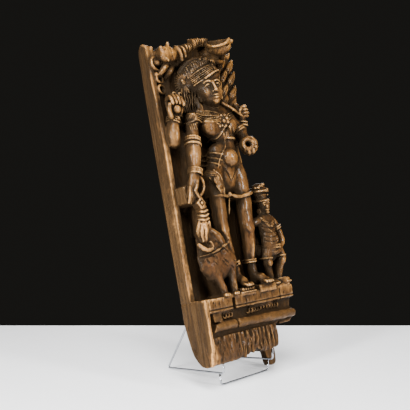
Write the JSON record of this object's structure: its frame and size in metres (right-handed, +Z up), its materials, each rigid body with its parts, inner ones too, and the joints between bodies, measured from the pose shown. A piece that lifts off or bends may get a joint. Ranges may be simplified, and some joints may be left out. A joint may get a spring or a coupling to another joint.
{
  "type": "ardhanarishvara figure",
  "caption": "Carved wooden temple panel with a standing four-armed deity, an animal and an attendant under a leafy canopy, leaning back on a bent wire easel.",
  "frame": {"origin": "middle of the bounding box in plan, on the ground under the easel's wires", "axes": "+Z up, +X to the viewer's right along the panel's width, -Y towards the viewer, with the panel leaning back towards +Y"},
  "size_m": [0.2024, 0.1652, 0.5198],
  "materials": {
    "wood": "hand-carved hardwood with a worn dark brown patina, polished on the figure and dry and sooty in the hollows",
    "chrome": "bright plated wire"
  },
  "bodies": {
    "root": {"carved_panel": "wood", "wire_easel": "chrome"}
  },
  "joints": []
}
